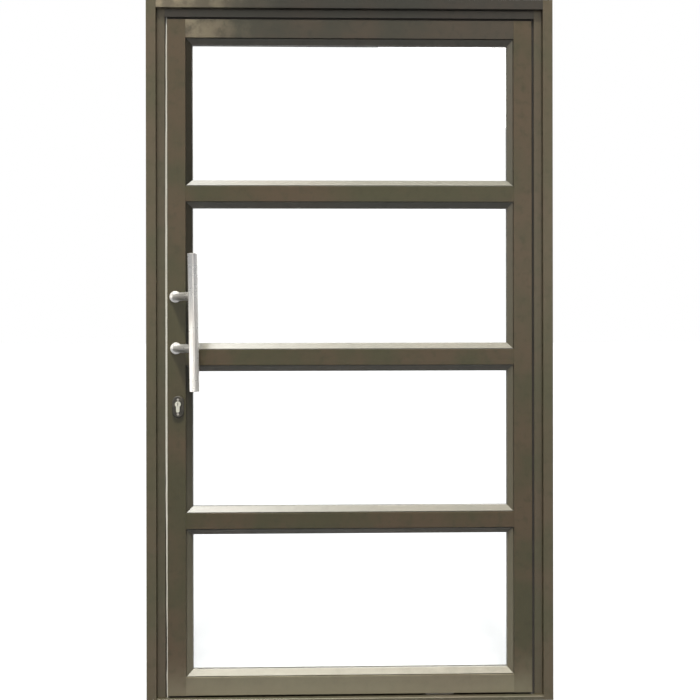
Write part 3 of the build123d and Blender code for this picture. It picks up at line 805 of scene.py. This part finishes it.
@dataclass
class BrushSeals:
    """The pile seals: a woven base with a row of tufts on the lock side, and the dark seals."""

    nodes: dict[str, bpy.types.Object]
    tuft_pitch: float = 4.0 * MM
    base_width: float = 5.0 * MM
    base_height: float = 1.2 * MM
    base_bevel: float = 0.2 * MM
    pile_width: float = 3.6 * MM
    tuft_fill: float = 0.86
    tuft_share: float = 0.98
    end_share: float = 0.1
    pinch: Place = (1.0, 0.8, 0.74)

    def tuft(self, length: float) -> bpy.types.Object:
        """Model one tuft, pinched at its root and at its tip.

        Args:
            length: From the base to the tip.

        Returns:
            The tuft, standing along +X from the origin, with its pitch along Z.
        """
        bpy.ops.object.select_all(action="DESELECT")
        bpy.ops.mesh.primitive_cube_add(size=1.0, location=(length / 2, 0, self.tuft_pitch / 2))
        tuft = bpy.context.active_object
        tuft.scale = (length, self.pile_width * self.tuft_fill, self.tuft_pitch * self.tuft_share)
        bpy.ops.object.transform_apply(location=True, rotation=False, scale=True)
        bpy.ops.object.mode_set(mode="EDIT")
        bpy.ops.mesh.select_all(action="SELECT")
        bpy.ops.mesh.subdivide(number_cuts=1)
        bpy.ops.mesh.select_all(action="DESELECT")
        bpy.ops.object.mode_set(mode="OBJECT")
        end = length * self.end_share
        for vertex in tuft.data.vertices:
            vertex.select = vertex.co.x > length - end or vertex.co.x < end
        bpy.ops.object.mode_set(mode="EDIT")
        bpy.ops.transform.resize(value=self.pinch)
        bpy.ops.object.mode_set(mode="OBJECT")
        return tuft

    def strip(self, node: str, name: str, edge: float, depth: float, finish: Finish, slot: str) -> None:
        """Build an upright strip along a CAD seal and let it stand for that seal.

        Args:
            node: The CAD node that it replaces.
            name: The strip's name.
            edge: Where the base's back is, along X. The pile grows along +X from it.
            depth: The strip's place along Y.
            finish: Its finish.
            slot: The record's material slot; not used.
        """
        low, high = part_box(node)
        tuft = self.tuft(high.x - edge - self.base_height / 2)
        count = int((high.z - low.z) / self.tuft_pitch)
        rows = tuft.modifiers.new("rows", "ARRAY")
        rows.count = count
        rows.use_relative_offset = False
        rows.use_constant_offset = True
        rows.constant_offset_displace = (0, 0, (high.z - low.z) / count)
        pick_only(tuft)
        bpy.ops.object.modifier_apply(modifier=rows.name)
        tuft.location = (edge + self.base_height / 2, depth, low.z)
        bpy.ops.object.transform_apply(location=True, rotation=False, scale=True)
        bpy.ops.object.select_all(action="DESELECT")
        middle = (edge + self.base_height / 2, depth, (low.z + high.z) / 2)
        bpy.ops.mesh.primitive_cube_add(size=1.0, location=middle)
        base = bpy.context.active_object
        base.scale = (self.base_height, self.base_width, high.z - low.z)
        bpy.ops.object.transform_apply(location=True, rotation=False, scale=True)
        bpy.ops.object.mode_set(mode="EDIT")
        bpy.ops.mesh.select_all(action="SELECT")
        bpy.ops.mesh.bevel(offset=self.base_bevel, segments=1, affect="EDGES")
        bpy.ops.object.mode_set(mode="OBJECT")
        bpy.ops.object.select_all(action="DESELECT")
        tuft.select_set(True)
        base.select_set(True)
        bpy.context.view_layer.objects.active = tuft
        bpy.ops.object.join()
        strip = bpy.context.active_object
        bpy.ops.object.mode_set(mode="EDIT")
        bpy.ops.mesh.select_all(action="SELECT")
        bpy.ops.mesh.normals_make_consistent(inside=False)
        bpy.ops.object.mode_set(mode="OBJECT")
        settle(strip, name, finish, "frame")
        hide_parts(node)

    def build(self) -> list[str]:
        """Build the pale strip beside the lock stile and dress the dark seals.

        Returns:
            The names of what was made.
        """
        low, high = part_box("pile_seal_lock_side")
        depth = (low.y + high.y) / 2
        self.strip("pile_seal_lock_side", "pale_pile_strip", low.x, depth, PALE_PILE, "pile_pale")
        dress(self.nodes, DARK_PILE, "pile_seals_dark", "bottom_sweep")
        return ["pale_pile_strip", "dark seals"]


@dataclass
class Leaf:
    """The stiles, rails and beads of the leaf, and its glass."""

    nodes: dict[str, bpy.types.Object]
    panes: int = 4

    def build(self) -> list[str]:
        """Dress the leaf.

        Returns:
            The names of what was dressed.
        """
        dress(self.nodes, STILE_BRONZE, "stile_lock_side", "stile_pivot_side")
        dress(self.nodes, TOP_RAIL_SHADED_BRONZE, "top_rail")
        dress(self.nodes, MID_RAIL_BRONZE, "mid_rail_1", "mid_rail_2", "mid_rail_3")
        dress(self.nodes, LOW_RAIL_LIT_BRONZE, "bottom_rail")
        dress(self.nodes, GASKET_RUBBER, "glazing_gaskets_outer", "glazing_gaskets_inner")
        dress(self.nodes, BLOCK_PLASTIC, "setting_blocks")
        dress(self.nodes, SCREW_STEEL, "leaf_screws")
        for pane in range(1, self.panes + 1):
            dress(self.nodes, LOW_BEAD_HIGHLIT_BRONZE, f"bead_bottom_{pane}")
            dress(self.nodes, HIGH_BEAD_BRONZE, f"bead_top_{pane}")
            dress(self.nodes, LEFT_BEAD_SHADED_BRONZE, f"bead_left_{pane}")
            dress(self.nodes, RIGHT_BEAD_LIT_BRONZE, f"bead_right_{pane}")
            dress(self.nodes, CLEAR_GLASS, f"glass_pane_{pane}")
        return ["stiles", "rails", "beads", "gaskets", "glass"]


@dataclass
class Hardware:
    """The pull handles, the lock and the pivots."""

    nodes: dict[str, bpy.types.Object]
    smooth: list[tuple[str, Finish, str, str]] = field(
        default_factory=lambda: [
            ("pull_handle_outer", HANDLE_STEEL, "leaf", "handle_steel"),
            ("pull_handle_inner", HANDLE_STEEL, "leaf", "handle_steel"),
            ("escutcheon_outer", ESCUTCHEON_COAT, "leaf", "escutcheon_dark"),
            ("escutcheon_inner", ESCUTCHEON_COAT, "leaf", "escutcheon_dark"),
            ("cylinder_body", NICKEL, "leaf", "cylinder_nickel"),
            ("cylinder_plug_outer", NICKEL, "cylinder_plug_outer", "cylinder_nickel"),
            ("cylinder_plug_inner", NICKEL, "cylinder_plug_inner", "cylinder_nickel"),
        ]
    )

    def build(self) -> list[str]:
        """Refine the curved pieces and dress the rest.

        Returns:
            The names of what was made or dressed.
        """
        for node, finish, body, slot in self.smooth:
            refined(self.nodes[node], f"{node}_smooth", finish, body)
        dress(self.nodes, PLATE_STEEL, "lock_case", "deadbolt", "handle_bolts")
        dress(self.nodes, PLATE_STEEL, "bottom_pivot_plate", "top_pivot_plate")
        dress(self.nodes, PLATE_STEEL, "bottom_pivot_shoe", "top_pivot_shoe", "top_pivot_pin")
        dress(self.nodes, BRASS, "thrust_washer")
        return [f"{node}_smooth" for node, *rest in self.smooth] + ["lock", "pivots"]


@dataclass(frozen=True)
class Direction:
    """The direction that a ray takes through the world, as three signals from -1 to 1."""

    side: Signal
    ahead: Signal
    height: Signal


@dataclass(frozen=True)
class Window:
    """A bright, upright window. Its width is measured along a level direction, given as X and Y."""

    along: tuple[float, float]
    width: Band
    height: Band
    nearer: Edge
    strength: float

    def seen(self, ray: Direction) -> Signal:
        """Tell how bright the window is.

        Args:
            ray: The direction that is looked in.

        Returns:
            Its brightness there.
        """
        across = ray.side * self.along[0] + ray.ahead * self.along[1]
        bright = across.band(*self.width) * ray.ahead.ramp(*self.nearer) * self.strength
        return bright * ray.height.band(*self.height)


@dataclass(frozen=True)
class Sky:
    """The light from all round, and what only mirrored rays see of it."""

    plain_level: float = 0.14
    plain_lean: float = 0.11
    high_level: float = 0.2
    high_lean: float = 0.1
    high_slant: float = 0.9
    high_edge: Edge = (0.28, 0.85)
    high_nearer: Edge = (0.35, -0.35)
    back_level: float = 0.2
    back_farther: Edge = (0.2, 0.9)
    back_side: Edge = (0.4, -0.1)
    opening_level: float = 3.7
    opening_base: float = 0.8
    opening_left: float = 3.0
    opening_side: Edge = (0.0, -0.18)
    opening_height: Edge = (0.70, 0.84)
    opening_nearer: Edge = (0.08, -0.56)
    left_window: Window = Window(
        along=(0.883, -0.469),
        width=(-0.42, -0.12, 0.08, 0.36),
        height=(-0.5, -0.1, 0.12, 0.4),
        nearer=(-0.2, -0.6),
        strength=2.1,
    )
    right_window: Window = Window(
        along=(0.829, 0.559),
        width=(-0.75, -0.50, 0.0, 0.45),
        height=(-0.24, -0.08, 0.08, 0.24),
        nearer=(0.3, -0.2),
        strength=1.6,
    )
    flank_base: float = 0.3
    flank_rise: float = 1.1
    flank_side: Edge = (-0.45, -0.9)
    flank_height: Edge = (-0.15, 0.25)
    glint_side: Edge = (0.08, 0.3)
    glint_height: Band = (0.12, 0.28, 0.4, 0.6)
    glint_nearer: Edge = (-0.4, -0.8)
    low_colour: Colour = (1.0, 0.95, 0.86)
    high_colour: Colour = (1.0, 0.99, 0.97)
    colour_height: Edge = (-0.2, 0.6)
    warm_colour: Colour = (1.0, 0.94, 0.78)
    warm_height: Edge = (0.6, 0.9)
    warm_side: Edge = (-0.16, -0.02)

    def mirrored(self, ray: Direction) -> Signal:
        """Give an opening overhead, a window to each side, a flank on the left and a glint on the right.

        Args:
            ray: The direction that is looked in.

        Returns:
            How much brighter they are than the plain sky.
        """
        leftward = ray.side.ramp(*self.opening_side) * self.opening_left + self.opening_base
        overhead = ray.height.ramp(*self.opening_height) * ray.ahead.ramp(*self.opening_nearer)
        opening = overhead * leftward * self.opening_level
        upward = ray.height.ramp(*self.flank_height) * self.flank_rise + self.flank_base
        flank = ray.side.ramp(*self.flank_side) * upward
        glint = ray.side.ramp(*self.glint_side) * ray.height.band(*self.glint_height)
        glint = glint * ray.ahead.ramp(*self.glint_nearer)
        return opening + self.left_window.seen(ray) + self.right_window.seen(ray) + flank + glint

    def level(self, ray: Direction, glossy: Signal) -> Signal:
        """Give the sky's strength, which rises overhead and towards the left.

        Args:
            ray: The direction that is looked in.
            glossy: 1 for mirrored rays.

        Returns:
            The strength.
        """
        upper = (ray.height - ray.side * self.high_slant).ramp(*self.high_edge)
        upper = upper * ray.ahead.ramp(*self.high_nearer)
        high = upper * (self.high_level - ray.side * self.high_lean)
        back = ray.ahead.ramp(*self.back_farther) * ray.side.ramp(*self.back_side) * self.back_level
        plain = self.plain_level - ray.side * self.plain_lean
        return high + back + plain + self.mirrored(ray) * glossy

    def colour(self, shading: Shading, ray: Direction) -> bpy.types.NodeSocket:
        """Give the sky's colour, warmer near the ground and overhead on the right.

        Args:
            shading: The world's node tree.
            ray: The direction that is looked in.

        Returns:
            The socket that carries the colour.
        """
        plain = shading.mixed(ray.height.ramp(*self.colour_height), self.low_colour, self.high_colour)
        warm = ray.height.ramp(*self.warm_height) * ray.side.ramp(*self.warm_side)
        return shading.mixed(warm, plain, self.warm_colour)


@dataclass(frozen=True)
class Lamp:
    """A soft rectangular lamp, with its size in metres and its power in watts."""

    name: str
    place: Place
    aim: Place
    size: tuple[float, float]
    power: float
    colour: Colour = WHITE

    def build(self) -> None:
        """Add the lamp to the scene."""
        data = bpy.data.lights.new(self.name, "AREA")
        data.shape = "RECTANGLE"
        data.size, data.size_y = self.size
        data.energy = self.power
        data.color = self.colour
        lamp = bpy.data.objects.new(self.name, data)
        bpy.context.scene.collection.objects.link(lamp)
        lamp.location = self.place
        away = Vector(self.aim) - Vector(self.place)
        lamp.rotation_euler = away.to_track_quat("-Z", "Y").to_euler()


@dataclass(frozen=True)
class Sun:
    """A far, soft lamp that casts the main shadow and makes no highlight of its own."""

    name: str
    travel: Place
    strength: float
    width_degrees: float
    colour: Colour

    def build(self) -> None:
        """Add the sun to the scene."""
        data = bpy.data.lights.new(self.name, "SUN")
        data.energy = self.strength
        data.angle = math.radians(self.width_degrees)
        data.color = self.colour
        lamp = bpy.data.objects.new(self.name, data)
        bpy.context.scene.collection.objects.link(lamp)
        lamp.rotation_euler = Vector(self.travel).to_track_quat("-Z", "Y").to_euler()
        lamp.visible_glossy = False


@dataclass
class Studio:
    """Camera, world, lamps and floor."""

    camera_place: Vector = field(default_factory=lambda: Vector((-0.0647, -2.7982, 1.155)))
    camera_yaw: float = -0.0234
    camera_roll: float = -0.0013
    focal_px: float = 937.7
    shift_px: tuple[float, float] = (-0.5, -39.5)
    picture_px: float = 700.0
    sensor: float = 36.0
    clip: tuple[float, float] = (0.05, 60.0)
    sky: Sky = Sky()
    lamps: tuple[Sun | Lamp, ...] = (
        Sun(
            "high_sun",
            travel=(0.0, 0.36, -0.93),
            strength=5.6,
            width_degrees=6.0,
            colour=(1.0, 0.985, 0.95),
        ),
        Lamp(
            "sky_right",
            place=(0.35, -2.2, 3.8),
            aim=(0.35, -1.37, 0.97),
            size=(2.4, 2.5),
            power=12.0,
            colour=(1.0, 1.0, 0.99),
        ),
        Lamp(
            "sky_left",
            place=(-1.35, -2.2, 3.8),
            aim=(-1.2, -1.37, 0.97),
            size=(1.0, 2.5),
            power=10.0,
        ),
        Lamp(
            "back_fill",
            place=(1.4, 3.6, 3.2),
            aim=(0.0, 0.0, 1.0),
            size=(2.4, 1.6),
            power=70.0,
            colour=(1.0, 0.98, 0.96),
        ),
    )
    through_glass: float = 1.12
    floor_size: float = 60.0
    floor_drop: float = 0.2 * MM
    floor_colour: Colour = (0.21, 0.215, 0.23)
    floor_glow: float = 0.73

    def camera(self) -> None:
        """Set the camera at the photograph's viewpoint, with no tilt up or down."""
        data = bpy.data.cameras.new("camera")
        data.sensor_width = self.sensor
        data.lens = self.focal_px / self.picture_px * self.sensor
        data.shift_x = self.shift_px[0] / self.picture_px
        data.shift_y = self.shift_px[1] / self.picture_px
        data.clip_start, data.clip_end = self.clip
        camera = bpy.data.objects.new("camera", data)
        bpy.context.scene.collection.objects.link(camera)
        turn = Matrix.Rotation(self.camera_yaw, 4, "Z") @ Matrix.Rotation(math.radians(90), 4, "X")
        turn = turn @ Matrix.Rotation(self.camera_roll, 4, "Z")
        camera.matrix_world = Matrix.Translation(self.camera_place) @ turn
        bpy.context.scene.camera = camera

    def background(self, shading: Shading) -> Signal:
        """Tell the rays that see the plain background from those that light the object.

        Args:
            shading: The tree that asks.

        Returns:
            1 for rays from the camera, a little more for those that passed glass, and 0 for all others.
        """
        path = shading.node("ShaderNodeLightPath")
        direct = Signal(shading, path.outputs["Is Camera Ray"])
        return direct.atleast(Signal(shading, path.outputs["Is Transmission Ray"]) * self.through_glass)

    def world(self) -> None:
        """Light the object from the sky, and show a white background."""
        world = bpy.data.worlds.new("studio")
        bpy.context.scene.world = world
        world.use_nodes = True
        shading = Shading(world.node_tree)
        toward = shading.node("ShaderNodeTexCoord").outputs["Generated"]
        parts = shading.node("ShaderNodeSeparateXYZ", {}, {0: toward})
        ray = Direction(*(Signal(shading, output) for output in parts.outputs))
        glossy = Signal(shading, shading.node("ShaderNodeLightPath").outputs["Is Glossy Ray"])
        lit = {"Color": self.sky.colour(shading, ray), "Strength": self.sky.level(ray, glossy)}
        soft = shading.node("ShaderNodeBackground", {}, lit).outputs[0]
        seen = self.background(shading)
        white = shading.node("ShaderNodeBackground", {}, {"Color": WHITE, "Strength": seen}).outputs[0]
        shown = shading.node("ShaderNodeMixShader", {}, {0: seen, 1: soft, 2: white}).outputs[0]
        shading.finish(shown, "ShaderNodeOutputWorld")

    def floor(self) -> None:
        """Lay a pale floor that keeps the object's shadow."""
        bpy.ops.object.select_all(action="DESELECT")
        bpy.ops.mesh.primitive_plane_add(size=self.floor_size, location=(0, 0, -self.floor_drop))
        floor = bpy.context.active_object
        floor.name = "floor"
        made = bpy.data.materials.new("pale_floor")
        made.use_nodes = True
        shading = Shading(made.node_tree)
        matt = shading.node("ShaderNodeBsdfDiffuse", {}, {"Color": self.floor_colour}).outputs[0]
        seen = self.background(shading) * self.floor_glow
        glow = shading.node("ShaderNodeEmission", {}, {"Color": WHITE, "Strength": seen}).outputs[0]
        shading.finish(shading.node("ShaderNodeAddShader", {}, {0: matt, 1: glow}).outputs[0])
        floor.data.materials.append(made)

    def build(self) -> list[str]:
        """Set up everything that isn't part of the object.

        Returns:
            The names of what was made.
        """
        self.camera()
        self.world()
        for lamp in self.lamps:
            lamp.build()
        self.floor()
        return ["camera", "world", "lamps", "floor"]


def main() -> None:
    """Build every part of the picture in order and report each one."""
    logging.basicConfig(level=logging.INFO, format="%(name)s: %(message)s")
    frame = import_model()
    scene = bpy.context.scene
    scene.view_settings.view_transform = "Standard"
    nodes = frame["nodes"]
    for part in (Studio(), OuterFrame(nodes), Leaf(nodes), BrushSeals(nodes), Hardware(nodes)):
        for name in part.build():
            LOG.info("%s: %s", type(part).__name__, name)


if __name__ == "__main__":
    main()
